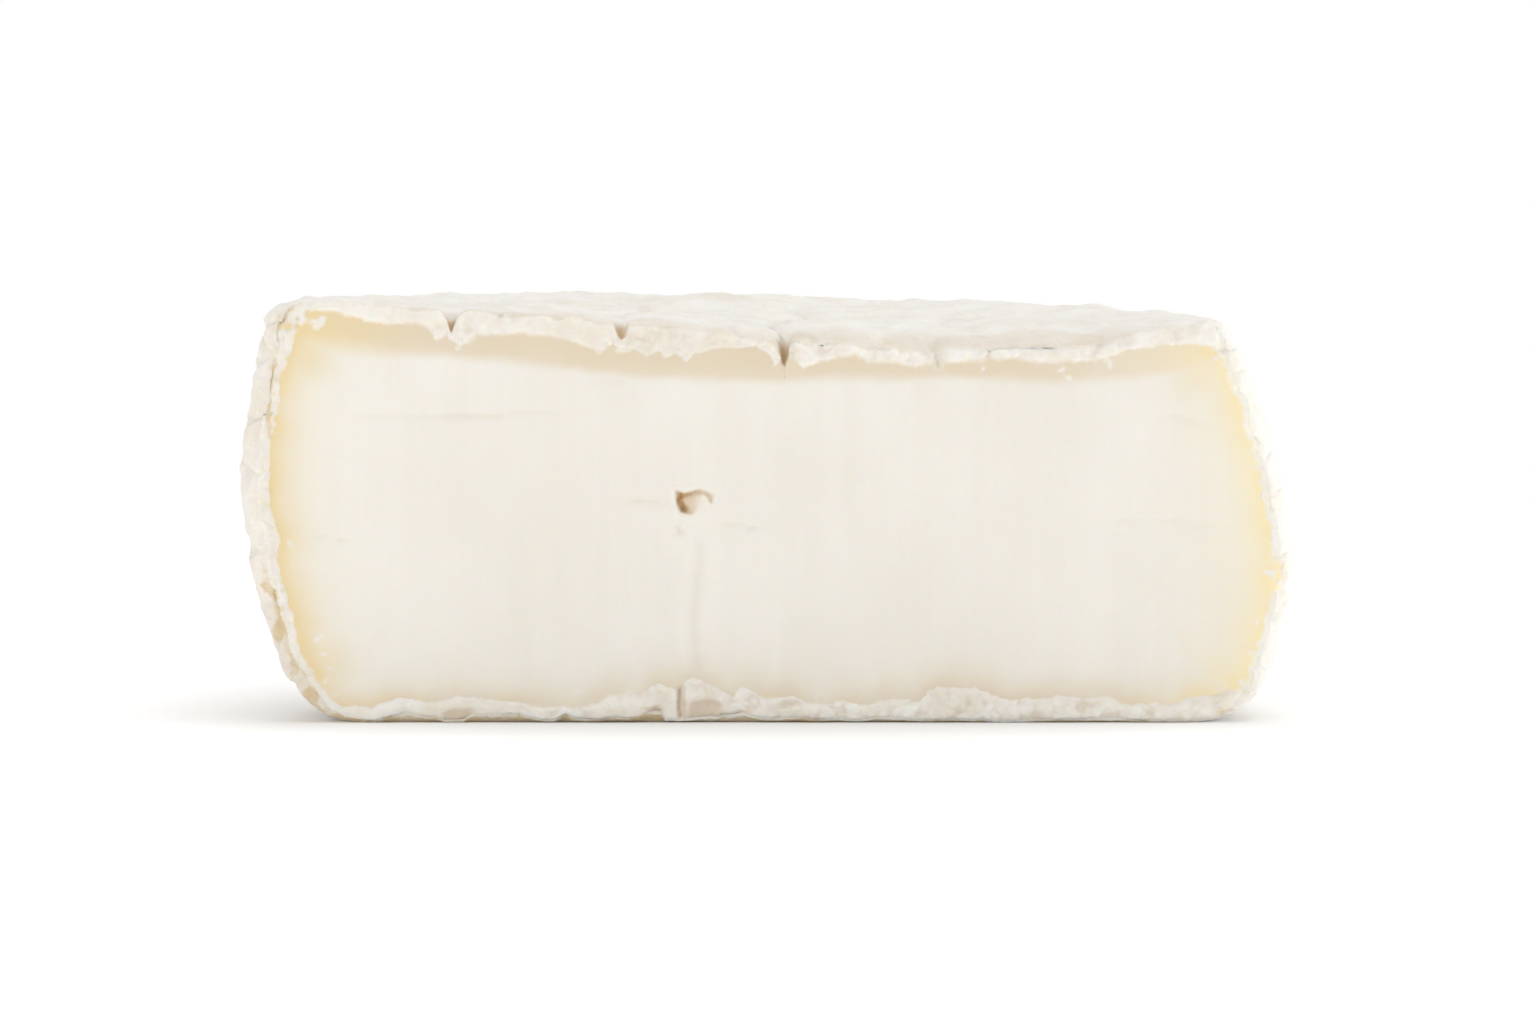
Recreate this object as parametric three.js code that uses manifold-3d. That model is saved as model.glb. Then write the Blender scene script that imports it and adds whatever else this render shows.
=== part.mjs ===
// Half of a soft, white-rinded cheese wheel, standing on its base as it was cut.
// Millimetres, +Z up. The cut face looks along -Y and the round side is at the back.
// It is one natural piece: paste, creamline and rind have grown together, so there is one solid.

import * as THREE from 'three';
import { mergeVertices } from 'three/addons/utils/BufferGeometryUtils.js';
import Module from 'manifold-3d';

// Where the knife went, measured from the wheel's axis.
const cutInFront = 4; // the cut missed the axis by this much, so this half is the larger one
const drawnInLeft = 2.6; // the knife pulled the rind inwards at the two ends of the cut
const drawnInRight = 1.8;
const drawnInDepth = 3.2; // and this is how far behind the cut that is felt

// The side, from the foot up to the shoulder, as [radius, share of the rim's height].
const rightSide = [
  [46.0, 0], [50.4, 0.03], [53.2, 0.14], [55.5, 0.37], [53.9, 0.6],
  [51.9, 0.78], [50.2, 0.89], [49.3, 0.96], [47.3, 0.998], [44.5, 1],
];
const leftSide = [
  [44.6, 0], [48.8, 0.04], [52.2, 0.17], [54.6, 0.37], [55.5, 0.6],
  [54.4, 0.76], [53.8, 0.89], [52.6, 0.975], [49.8, 1], [46.8, 1],
];

// The top: higher at the left, sunk a little in the middle, and dragged down along the cut.
const leftRimHeight = 44.3;
const rightRimHeight = 42.5;
const middleSag = 1.1;
const sagRadius = 47;
const dragDepth = 3.3; // the deepest drag, right of the middle
const dragReach = 3.6; // how fast it fades behind the cut
const dragFrom = -34;
const dragFullAt = 24;
const dragEaseFrom = 29;
const dragTo = 47;

// Unevenness of the round side, as [waves in a full turn, amount, phase].
const sideWaves = [[3, 0.3, 0.6], [7, 0.3, 1.9], [11, 0.16, 0.3]];

// One gas hole opens in the cut face.
const hole = { x: -7.65, z: 23.1, halfWidth: 2.05, halfHeight: 1.4, depth: 3 };

// V-shaped creases between the plates of rind on the top, as [x, distance behind the cut] points.
// Each is deepest at the cut and runs out at its last point.
const creaseDepth = 1.9;
const creaseHalfWidth = 0.8;
const creaseSteps = 12;
const creases = [
  [[-33, -2], [-32.6, 6], [-34.5, 14], [-33.4, 24]],
  [[-15.5, -2], [-15.9, 7], [-13.4, 18], [-14.6, 30], [-16.8, 42]],
  [[1.7, -2], [1.5, 9], [3.4, 21], [2.2, 34], [4, 46]],
  [[17.6, -2], [19.2, 10], [18.2, 22], [20.6, 33]],
];

// How finely the surfaces are divided.
const endAngles = 7; // steps in the short stretch behind each end of the cut
const endStretch = 8; // degrees
const backAngles = 40;
const sideSteps = 18;
const topSteps = 9;
const baseSteps = 2;
const tiny = 1e-4;

const degrees = Math.PI / 180;
const widest = Math.max(...rightSide.map(([radius]) => radius));
const cutY = -cutInFront;

const clamp = (value) => Math.min(1, Math.max(0, value));

function ease(from, to, value) {
  const t = clamp((value - from) / (to - from));
  return t * t * (3 - 2 * t);
}

const mix = (a, b, share) => a + (b - a) * share;

// Height of the top over a point of the plan.
function topHeight(x, y) {
  const rim = mix(rightRimHeight, leftRimHeight, ease(widest, -widest, x));
  const sag = middleSag * (1 - clamp((x * x + y * y) / (sagRadius * sagRadius)));
  const along = ease(dragFrom, dragFullAt, x) * (1 - ease(dragEaseFrom, dragTo, x));
  const drag = dragDepth * along * Math.exp(-(y - cutY) / dragReach);
  return rim - sag - drag;
}

// Angles from the left end of the cut round the back to the right end, in degrees from +Y.
function anglesRoundTheBack() {
  const end = 90 + Math.asin(cutInFront / widest) / degrees;
  const angles = [];
  for (let i = 0; i < endAngles; i += 1) {
    angles.push(-end + endStretch * (i / endAngles) ** 1.5);
  }
  for (let i = 0; i <= backAngles; i += 1) {
    angles.push(mix(-end + endStretch, end - endStretch, i / backAngles));
  }
  for (let i = endAngles - 1; i >= 0; i -= 1) {
    angles.push(end - endStretch * (i / endAngles) ** 1.5);
  }
  return angles;
}

// A quarter-round pull towards the axis, strongest at the cut itself.
function drawnIn(angle, depthBehindCut) {
  const most = angle < 0 ? drawnInLeft : drawnInRight;
  const t = clamp(depthBehindCut / drawnInDepth);
  return most * (1 - Math.sqrt(1 - (1 - t) ** 2));
}

// One upright section of the side, from the foot to the shoulder.
function sideSection(angle, isEnd) {
  const direction = new THREE.Vector2(Math.sin(angle * degrees), Math.cos(angle * degrees));
  const share = ease(1, -1, direction.x);
  const atBack = clamp(direction.y) ** 2;
  const wave = sideWaves.reduce(
    (sum, [count, amount, phase]) => sum + amount * Math.sin(count * angle * degrees + phase),
    0,
  );
  const corners = rightSide.map(([radius, height], i) => new THREE.Vector2(
    mix(radius, leftSide[i][0], share) + wave * atBack,
    mix(height, leftSide[i][1], share),
  ));
  const section = new THREE.SplineCurve(corners).getPoints(sideSteps);
  section[0].y = 0;
  return section.map((point) => {
    const depth = isEnd ? 0 : Math.max(0, point.x * direction.y - cutY);
    const radius = point.x - drawnIn(angle, depth);
    const x = radius * direction.x;
    const y = isEnd ? cutY : Math.max(cutY + tiny, radius * direction.y);
    return new THREE.Vector3(x, y, clamp(point.y) * topHeight(x, y));
  });
}

// Points on a line of the plan from the cut back to a rim point, closest together at the cut.
function lineToRim(rimPoint, cutX, steps, heightAt) {
  const line = [];
  for (let k = 0; k <= steps; k += 1) {
    const t = (k / steps) ** 1.8;
    const x = mix(cutX, rimPoint.x, t);
    const y = mix(cutY, rimPoint.y, t);
    line.push(k === steps ? rimPoint : new THREE.Vector3(x, y, heightAt(x, y)));
  }
  return line;
}

// Two triangles for each cell of a grid of points, wound so that they face outwards.
function addGrid(positions, rows, flipped) {
  for (let i = 0; i + 1 < rows.length; i += 1) {
    for (let k = 0; k + 1 < rows[i].length; k += 1) {
      const [a, b, c, d] = [rows[i][k], rows[i + 1][k], rows[i + 1][k + 1], rows[i][k + 1]];
      const corners = flipped ? [a, c, b, a, d, c] : [a, b, c, a, c, d];
      corners.forEach((corner) => positions.push(corner.x, corner.y, corner.z));
    }
  }
}

// The flat cut face, from the ring of points that bounds it.
function addCutFace(positions, ring) {
  const outline = ring.map((point) => new THREE.Vector2(point.x, point.z));
  THREE.ShapeUtils.triangulateShape(outline, []).forEach((triangle) => {
    triangle.forEach((index) => positions.push(ring[index].x, ring[index].y, ring[index].z));
  });
}

function geometryOf(positions) {
  const geometry = new THREE.BufferGeometry();
  geometry.setAttribute('position', new THREE.Float32BufferAttribute(positions, 3));
  return geometry;
}

// Spreads the lines of the plan evenly along the cut, as the angles are round the back.
function edgeShare(t) {
  return (1 - Math.cos(Math.PI * t)) / 2;
}

// The whole skin of the half wheel as one closed geometry.
function halfWheelGeometry() {
  const angles = anglesRoundTheBack();
  const last = angles.length - 1;
  const sides = angles.map((angle, i) => sideSection(angle, i === 0 || i === last));
  const tops = sides.map((section, i) => {
    const shoulder = section[sideSteps];
    const cutX = mix(sides[0][sideSteps].x, sides[last][sideSteps].x, edgeShare(i / last));
    return lineToRim(shoulder, cutX, topSteps, topHeight);
  });
  const bases = sides.map((section, i) => {
    const cutX = mix(sides[0][0].x, sides[last][0].x, edgeShare(i / last));
    return lineToRim(section[0], cutX, baseSteps, () => 0);
  });
  const ring = [
    ...bases.map((line) => line[0]),
    ...sides[last].slice(1),
    ...tops.map((line) => line[0]).slice(1, -1).reverse(),
    ...sides[0].slice(1).reverse(),
  ];

  const positions = [];
  addGrid(positions, sides, true);
  addGrid(positions, tops, false);
  addGrid(positions, bases, true);
  addCutFace(positions, ring);
  return geometryOf(positions);
}

// A long three-sided wedge along a crease, to be cut away from the top.
function creaseCutter(points) {
  const route = new THREE.CatmullRomCurve3(
    points.map(([x, behind]) => new THREE.Vector3(x, cutY + behind, 0)),
  );
  const rings = route.getPoints(creaseSteps).map(({ x, y }, i) => {
    const top = topHeight(x, Math.max(y, cutY));
    const openness = 1 - i / creaseSteps; // 1 at the cut, 0 where the crease has run out
    const half = creaseHalfWidth * mix(0.6, 1, openness);
    const above = new THREE.Vector3(0, 0, creaseHalfWidth);
    return [
      new THREE.Vector3(x - half, y, top).add(above),
      new THREE.Vector3(x, y, top - creaseDepth * openness ** 0.7),
      new THREE.Vector3(x + half, y, top).add(above),
    ];
  });
  const positions = [];
  addGrid(positions, rings.map((ring) => [...ring, ring[0]]), false);
  [rings[0], rings[creaseSteps].slice().reverse()].forEach((cap) => {
    cap.forEach((corner) => positions.push(corner.x, corner.y, corner.z));
  });
  return geometryOf(positions);
}

function holeCutter() {
  const cutter = new THREE.SphereGeometry(1, 16, 10);
  cutter.scale(hole.halfWidth, hole.depth, hole.halfHeight);
  cutter.translate(hole.x, cutY, hole.z);
  return cutter;
}

// three.js geometry to a manifold solid: shared corners are merged and empty triangles dropped.
function toSolid(wasm, geometry) {
  const bare = geometry.clone();
  bare.deleteAttribute('normal');
  bare.deleteAttribute('uv');
  const merged = mergeVertices(bare, tiny);
  const corners = Array.from(merged.index.array);
  const kept = [];
  for (let i = 0; i < corners.length; i += 3) {
    const [a, b, c] = corners.slice(i, i + 3);
    if (a !== b && b !== c && c !== a) kept.push(a, b, c);
  }
  return new wasm.Manifold(new wasm.Mesh({
    numProp: 3,
    vertProperties: new Float32Array(merged.attributes.position.array),
    triVerts: new Uint32Array(kept),
  }));
}

function toGeometry(solid) {
  const mesh = solid.getMesh();
  const geometry = new THREE.BufferGeometry();
  geometry.setAttribute('position', new THREE.BufferAttribute(mesh.vertProperties, 3));
  geometry.setIndex(new THREE.BufferAttribute(mesh.triVerts, 1));
  return geometry;
}

// Puts the origin at the middle of the bottom of the box around the geometry.
function standOnOrigin(geometry) {
  geometry.computeBoundingBox();
  const { min, max } = geometry.boundingBox;
  geometry.translate(-(min.x + max.x) / 2, -(min.y + max.y) / 2, -min.z);
  geometry.computeVertexNormals();
  return geometry;
}

const wasm = await Module();
wasm.setup();
const cutters = [holeCutter(), ...creases.map(creaseCutter)];
const halfWheel = cutters.reduce(
  (solid, cutter) => solid.subtract(toSolid(wasm, cutter)),
  toSolid(wasm, halfWheelGeometry()),
);

const cheese = new THREE.Mesh(
  standOnOrigin(toGeometry(halfWheel)),
  new THREE.MeshStandardMaterial({ color: 0xf1ece1, roughness: 0.75, metalness: 0 }),
);
cheese.name = 'cheese_half';

const part = new THREE.Group();
part.add(cheese);

export default part;
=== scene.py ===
import math

import bmesh
import bpy
import numpy as np
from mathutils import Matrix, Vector, noise
from mathutils.kdtree import KDTree


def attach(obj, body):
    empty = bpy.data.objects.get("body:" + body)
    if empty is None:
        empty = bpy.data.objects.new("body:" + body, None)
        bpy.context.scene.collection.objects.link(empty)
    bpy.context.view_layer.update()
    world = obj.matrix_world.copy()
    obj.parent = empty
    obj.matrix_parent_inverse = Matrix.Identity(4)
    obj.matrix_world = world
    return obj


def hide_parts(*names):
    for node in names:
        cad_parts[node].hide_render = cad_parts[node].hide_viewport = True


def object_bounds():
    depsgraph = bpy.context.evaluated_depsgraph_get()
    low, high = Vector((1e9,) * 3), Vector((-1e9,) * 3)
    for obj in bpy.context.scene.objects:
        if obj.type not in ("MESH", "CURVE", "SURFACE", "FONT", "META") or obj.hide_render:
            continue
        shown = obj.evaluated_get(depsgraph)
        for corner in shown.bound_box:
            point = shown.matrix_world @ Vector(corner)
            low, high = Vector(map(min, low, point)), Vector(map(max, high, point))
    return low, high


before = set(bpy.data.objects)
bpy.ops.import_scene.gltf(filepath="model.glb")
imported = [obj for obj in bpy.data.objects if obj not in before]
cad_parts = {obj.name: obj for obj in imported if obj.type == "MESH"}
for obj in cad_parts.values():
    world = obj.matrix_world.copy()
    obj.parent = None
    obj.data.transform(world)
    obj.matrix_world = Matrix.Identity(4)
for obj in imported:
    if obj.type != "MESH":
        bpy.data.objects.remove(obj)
cadLow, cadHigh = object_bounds()
mm = 0.001
cutY = cadLow.y / mm  # the cut face lies in this plane
height = cadHigh.z / mm
halfWidth = cadHigh.x / mm


def mix(a, b, share):
    return a + (b - a) * share


def ease(low, high, value):
    t = np.clip((value - low) / (high - low), 0, 1)
    return t * t * (3 - 2 * t)


def lumps(points, size, seed):  # soft noise from -1 to 1, its lumps about size mm across
    shift = np.array([seed * 17.31, seed * 5.17, seed * 11.73])
    return np.array([noise.noise(p) for p in (points / size + shift).tolist()])


def crumbs(points, size, seed):  # rounded grains from 0 at their edges to about 1 on top
    shift = np.array([seed * 3.7, seed * 8.9, seed * 2.3])
    near = [noise.voronoi(p)[0] for p in (points / size + shift).tolist()]
    return np.clip(np.array([d[1] - d[0] for d in near]) * 1.6, 0, 1)


def signedGap(points, line):  # distance to a closed line, positive outside it
    best = np.full(len(points), 1e6)
    inside = np.zeros(len(points), dtype=bool)
    loop = np.array(list(line) + [line[0]], dtype=float)
    for a, b in zip(loop[:-1], loop[1:]):
        t = np.clip(((points - a) @ (b - a)) / ((b - a) @ (b - a)), 0, 1)
        best = np.minimum(best, np.hypot(*(points - (a + t[:, None] * (b - a))).T))
        crosses = (a[1] > points[:, 1]) != (b[1] > points[:, 1])
        rise = b[1] - a[1] if b[1] != a[1] else 1e-9
        inside ^= crosses & (points[:, 0] < a[0] + (points[:, 1] - a[1]) * (b[0] - a[0]) / rise)
    return np.where(inside, -best, best)


def readCoords(mesh):
    co = np.empty(len(mesh.vertices) * 3)
    mesh.vertices.foreach_get("co", co)
    return co.reshape(-1, 3) / mm


def readNormals(mesh):
    normals = np.empty(len(mesh.vertices) * 3)
    mesh.vertices.foreach_get("normal", normals)
    return normals.reshape(-1, 3)


def writeCoords(mesh, co):
    mesh.vertices.foreach_set("co", (co * mm).ravel())
    mesh.update()


def paint(mesh, name, values):
    layer = mesh.attributes.new(name, "FLOAT", "POINT")
    layer.data.foreach_set("value", np.asarray(values, dtype=np.float32))


def selectOnly(obj):
    bpy.ops.object.select_all(action="DESELECT")
    obj.select_set(True)
    bpy.context.view_layer.objects.active = obj


def refine(obj, chosen):  # halves the chosen faces' edges
    bpy.ops.object.mode_set(mode="EDIT")
    bpy.ops.mesh.select_all(action="DESELECT")
    bpy.ops.object.mode_set(mode="OBJECT")
    centres = np.empty(len(obj.data.polygons) * 3)
    obj.data.polygons.foreach_get("center", centres)
    picked = chosen(centres.reshape(-1, 3) / mm)
    obj.data.polygons.foreach_set("select", picked)
    bpy.ops.object.mode_set(mode="EDIT")
    bpy.ops.mesh.select_mode(type="FACE")
    bpy.ops.mesh.subdivide(number_cuts=1, smoothness=0)
    bpy.ops.object.mode_set(mode="OBJECT")
    return int(picked.sum())


camera = {
    "elevation": 3,
    "distance": 0.9,
    "shown": 2.9,  # how many half widths of the cheese the picture is wide
    "sensor": 36,
    "aimAt": 0.5,  # share of the height
}


def addCamera(c):
    turn = math.radians(c["elevation"])
    target = Vector((0, cadLow.y, cadHigh.z * c["aimAt"]))
    away = Vector((0, -math.cos(turn), math.sin(turn)))
    bpy.ops.object.camera_add(location=target + away * c["distance"], rotation=(math.pi / 2 - turn, 0, 0))
    cam = bpy.context.object
    cam.name = "camera"
    cam.data.sensor_width = c["sensor"]
    cam.data.lens = c["sensor"] * c["distance"] / (c["shown"] * cadHigh.x)
    bpy.context.scene.camera = cam


addCamera(camera)
print("camera ready")


block = {  # the half wheel before its rind is shaped
    "weld": 0.01,
    "voxel": 0.815,
    "smoothing": 12,
    "keptBase": 0.8,  # the lowest part isn't smoothed, so that it still lies flat
    "outlineStep": 0.25,
    "outlineBlur": 0.9,
    "hole": (-7.65, 23.1),  # its middle on the cut face
    "holeReach": 3.4,
    "holeBack": 5,
    "notches": (-33, -15.5, 1.7),  # where the folds of the top run out over the cut
    "notchWall": (1.6, 0.55),  # half width, and how steep its walls are at least
    "nearCut": 3,  # how far behind the cut the skin is refined once
    "fineBehind": 1.3,  # how far behind the cut the finest skin goes
    "fineInside": 4.2,  # and how far in from the edge of the cut
    "fineHole": (3, 2),  # round the hole: how far out and how far back
    "fineNotch": (1.4, 6.3, 1.2),  # in a notch: half width, how far down and how far back
}


def fromHole(points):
    x, z = block["hole"]
    return np.hypot(points[:, 0] - x, points[:, 2] - z)


def fromNotch(x):
    return np.min([np.abs(x - place) for place in block["notches"]], axis=0)


def roughBlock(b):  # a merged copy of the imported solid
    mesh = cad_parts["cheese_half"].data.copy()
    obj = bpy.data.objects.new("halfWheel", mesh)
    bpy.context.scene.collection.objects.link(obj)
    selectOnly(obj)
    bpy.ops.object.mode_set(mode="EDIT")
    bpy.ops.mesh.select_all(action="SELECT")
    bpy.ops.mesh.remove_doubles(threshold=b["weld"] * mm)
    bpy.ops.object.mode_set(mode="OBJECT")
    co = readCoords(mesh)
    inside = (fromHole(co) < b["holeReach"]) & (co[:, 1] < cutY + b["holeBack"])
    co[inside, 1] = cutY  # the hole is pressed in again later, with finer walls
    writeCoords(mesh, co)
    return obj


def outlineOfCut(obj, b):  # points round the edge of the cut face, with the way out at each
    shape = bmesh.new()
    shape.from_mesh(obj.data)
    points, ways = [], []
    for edge in shape.edges:
        flat = [f for f in edge.link_faces if all(abs(v.co.y / mm - cutY) < b["weld"] for v in f.verts)]
        if len(flat) != 1:
            continue
        a, c = [np.array([v.co.x, v.co.z]) / mm for v in edge.verts]
        middle = (a + c) / 2
        if np.hypot(*(middle - b["hole"])) < b["holeReach"]:
            continue
        inside = flat[0].calc_center_median()
        along = (c - a) / max(np.hypot(*(c - a)), 1e-9)
        out = np.array([-along[1], along[0]])
        if np.dot(out, np.array([inside.x, inside.z]) / mm - a) > 0:
            out = -out
        half, steep = b["notchWall"]
        if fromNotch(middle[0]) < half and abs(out[0]) > steep and middle[1] > height / 2:
            continue
        steps = max(1, math.ceil(np.hypot(*(c - a)) / b["outlineStep"]))
        for i in range(steps):
            points.append(mix(a, c, (i + 0.5) / steps))
            ways.append(out)
    shape.free()
    points, ways = np.array(points), np.array(ways)
    tree = KDTree(len(points))
    for i, p in enumerate(points):
        tree.insert((p[0], 0, p[1]), i)
    tree.balance()
    for i, p in enumerate(points):  # the way out, smoothed over its neighbours
        near = [n[1] for n in tree.find_range((p[0], 0, p[1]), b["outlineBlur"])]
        way = ways[near].mean(axis=0)
        ways[i] = way / max(np.hypot(*way), 1e-9)
    return points, ways, tree


def remeshBlock(obj, b):
    skin = obj.modifiers.new("evenSkin", "REMESH")
    skin.mode = "VOXEL"
    skin.voxel_size = b["voxel"] * mm
    selectOnly(obj)
    bpy.ops.object.modifier_apply(modifier="evenSkin")
    co = readCoords(obj.data)
    # all but the cut and the base
    away = (co[:, 1] > cutY + 1.2 * b["voxel"]) & (co[:, 2] > b["keptBase"])
    bpy.ops.object.mode_set(mode="EDIT")
    bpy.ops.mesh.select_mode(type="VERT")
    bpy.ops.mesh.select_all(action="DESELECT")
    bpy.ops.object.mode_set(mode="OBJECT")
    obj.data.vertices.foreach_set("select", away)
    bpy.ops.object.mode_set(mode="EDIT")
    bpy.ops.mesh.vertices_smooth(factor=0.5, repeat=b["smoothing"])
    bpy.ops.object.mode_set(mode="OBJECT")


halfWheel = roughBlock(block)
rimPoints, rimWays, rimTree = outlineOfCut(halfWheel, block)
remeshBlock(halfWheel, block)


def nearRim(centres):  # the faces at the edge of the cut, and those in the hole
    gap = np.array([rimTree.find((c[0], 0, c[2]))[2] for c in centres.tolist()])
    atRim = (gap < block["fineInside"]) & (centres[:, 1] < cutY + block["fineBehind"])
    return atRim | nearHole(centres)


def nearHole(centres):
    out, back = block["fineHole"]
    return (fromHole(centres) < out) & (centres[:, 1] < cutY + back)


def nearNotch(centres):
    half, down, back = block["fineNotch"]
    high = centres[:, 2] > height - down
    return (fromNotch(centres[:, 0]) < half) & high & (centres[:, 1] < cutY + back)


refine(halfWheel, lambda c: c[:, 1] < cutY + block["nearCut"])
refine(halfWheel, nearRim)
refine(halfWheel, lambda c: nearHole(c) | nearNotch(c))
triangles = sum(len(face.vertices) - 2 for face in halfWheel.data.polygons)
print("rough block:", len(halfWheel.data.vertices), "points,", triangles, "triangles")


# where each point lies: on the skin, or how deep inside the cut
skin = {
    "onCut": 0.4,  # share of a voxel behind the cut that still belongs to the cut face
    "holeBack": 3,
    "turn": (0.3, 2.2),  # behind the cut, where the lumps begin to push backwards as well
    "faceFade": 3.5,  # how far in from its edge the lumps still bend the cut face's outline
    "topAndBase": (0.45, 0.85),  # how steep the skin is where the side turns into top or base
}

co = readCoords(halfWheel.data)
normals = readNormals(halfWheel.data)
behind = co[:, 1] - cutY
found = [rimTree.find((p[0], 0, p[2])) for p in co.tolist()]
rimIndex = np.array([f[1] for f in found])
rimDepth = np.array([f[2] for f in found])
nearestRim = rimPoints[rimIndex]
rimWay = rimWays[rimIndex]
inHole = fromHole(co) < block["holeReach"]
onFace = (behind < skin["onCut"] * block["voxel"]) | (inHole & (behind < skin["holeBack"]))
rimDepth = np.where(onFace, rimDepth, 0)
rimAt = np.column_stack([nearestRim[:, 0], np.full(len(co), cutY), nearestRim[:, 1]])
skinAt = np.where(onFace[:, None], rimAt, co)  # the skin point that a face point goes with
wayOut = np.column_stack([rimWay[:, 0], np.zeros(len(co)), rimWay[:, 1]])
skinWay = normals * np.column_stack([np.ones(len(co)), ease(*skin["turn"], behind), np.ones(len(co))])
skinWay /= np.maximum(np.linalg.norm(skinWay, axis=1), 1e-6)[:, None]
pushWay = np.where(onFace[:, None], wayOut, skinWay)
faceFade = np.where(onFace, 1 - ease(0, skin["faceFade"], rimDepth), 1)

upward = np.where(onFace, rimWay[:, 1], normals[:, 2])
topness = ease(*skin["topAndBase"], upward)
baseness = ease(*skin["topAndBase"], -upward)
sideness = 1 - topness - baseness


rind = {  # its relief: sizes and heights in millimetres
    "lumpSizes": (11, 5.2, 2.4, 1.1),
    "topLumps": (0.45, 0.42, 0.2, 0.08),
    "sideLumps": (0.7, 0.55, 0.27, 0.09),
    "upright": 1.25,  # lumps are this much wider than high
    "fold": 0.4,
    "foldWidths": (0.16, 0.12),  # on the side and on top
    "swirl": (1.5, 7),  # how far the folds are bent, and over what distance
    "crumb": (0.13, 1.7),  # how high and how wide
    "besideCut": 0.45,  # share of the big lumps left beside the cut
    "bigFrom": 4,
    "calm": (3, 14),  # behind the cut, where they come back
}


def rindRelief(r):
    raised = np.zeros(len(co))
    calm = mix(r["besideCut"], 1, ease(*r["calm"], skinAt[:, 1] - cutY))
    for i, size in enumerate(r["lumpSizes"]):
        wave = lumps(skinAt * np.array([1, 1, r["upright"]]), size, i + 1)
        amount = r["topLumps"][i] * topness + r["sideLumps"][i] * sideness
        raised += wave * amount * (calm if size > r["bigFrom"] else 1)
    far, size = r["swirl"]
    sideWidth, topWidth = r["foldWidths"]
    swirl = skinAt + far * np.column_stack([lumps(skinAt, size, s) for s in (11, 12, 13)])
    fold = np.abs(lumps(swirl * np.array([0.45, 0.45, 1.6]), 5, 21))  # long and level on the side
    raised -= r["fold"] * (1 - ease(0, sideWidth, fold)) * sideness
    topFold = np.abs(lumps(swirl * np.array([0.8, 1.3, 1]), 7, 22))
    raised -= 0.8 * r["fold"] * (1 - ease(0, topWidth, topFold)) * topness
    high, wide = r["crumb"]
    raised += high * (crumbs(skinAt, wide, 5) - 0.5) * (1 - baseness)
    return raised


creases = {  # routes over the top, as x and the distance behind the cut
    "routes": (
        ((-33, -1), (-33.4, 3), (-31.6, 7), (-34.9, 14), (-32.6, 24)),
        ((-15.5, -1), (-15.2, 3), (-16.6, 8), (-12.6, 18), (-15.2, 30), (-17.4, 42)),
        ((1.7, -1), (2.1, 3), (0.4, 9), (4.4, 20), (1.6, 33), (5, 46)),
        ((17.6, 1.5), (19.2, 10), (18.2, 22), (20.6, 33)),
        ((-33.4, 12), (-25, 14), (-14, 13)),
        ((-14, 24), (-6, 21), (3, 23.5)),
        ((3, 15), (11, 17), (18.6, 15)),
        ((18.6, 25), (28, 22), (38, 25)),
        ((33, 3), (35, 12), (33, 22)),
    ),
    "depths": (0.8, 0.6, 0.9, 0.5, 0.55, 0.55, 0.5, 0.5, 0.45),
    "atCut": (0.1, 0, 0.1, 0.1, 0, 0, 0, 0, 0),  # how much deeper right at the cut
    "widths": (0.65, 0.6, 0.7, 0.6, 0.6, 0.6, 0.6, 0.6, 0.6),
    "shoulder": 0.35,
    "shoulderReach": 2.6,
    "bends": ((6, 1.8), (2.2, 0.45)),  # size and amount, for the long bends and the small ones
    "straight": 4,  # within this distance of the cut the long bends fade away
    "fadeFrom": 0.6,  # share of the route
}


def alongRoute(points, route):  # distance of each point to a bent line, and the share along it
    best = np.full(len(points), 1e6)
    shareAt = np.zeros(len(points))
    line = np.array(route, dtype=float)
    for i in range(len(line) - 1):
        a, b = line[i], line[i + 1]
        t = np.clip(((points - a) @ (b - a)) / ((b - a) @ (b - a)), 0, 1)
        d = np.hypot(*(points - (a + t[:, None] * (b - a))).T)
        closer = d < best
        best = np.where(closer, d, best)
        shareAt = np.where(closer, (i + t) / (len(line) - 1), shareAt)
    return best, shareAt


def creaseRelief(c):
    plan = np.column_stack([skinAt[:, 0], skinAt[:, 1] - cutY])
    (longSize, longBend), (size, bend) = c["bends"]
    warp = np.column_stack([lumps(skinAt, longSize, 31), lumps(skinAt, longSize, 32)]) * longBend
    fine = np.column_stack([lumps(skinAt, size, 33), lumps(skinAt, size, 34)]) * bend
    warped = plan + warp * ease(0, c["straight"], plan[:, 1])[:, None] + fine
    uneven = 0.8 + 0.5 * lumps(skinAt, 5, 35)
    raised = np.zeros(len(co))
    for route, depth, atEdge, width in zip(c["routes"], c["depths"], c["atCut"], c["widths"]):
        gap, share = alongRoute(warped, route)
        depth = mix(atEdge, depth, ease(0.5, 3.5, plan[:, 1]))
        fromTheCut = route[0][1] < 3
        depth = depth * (1 - ease(c["fadeFrom"], 1, share) * fromTheCut) * uneven
        raised -= depth * np.exp(-((gap / width) ** 1.6))
        raised -= c["shoulder"] * depth * np.exp(-((gap / c["shoulderReach"]) ** 2))
    return raised * topness


notches = {  # cut deeper where the folds run out: x, half width, depth, sharpness
    "cuts": ((-33.1, 1.7, 1.5, 1.3), (-33, 0.5, 1.1, 0.8), (-15.4, 0.75, 1.5, 0.5), (1.5, 1.6, 1.2, 1.3),
             (1.75, 0.45, 1.7, 0.8), (-28, 0.4, 0.4, 1), (17.7, 0.7, 0.5, 1), (27.5, 11, -0.6, 1)),
    "ragged": ((1.4, 0.18), (0.6, 0.07)),  # size and amount
    "reach": 7,  # how far down the cut the rind is squeezed
    "behind": (1.2, 4.5),
}


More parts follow.
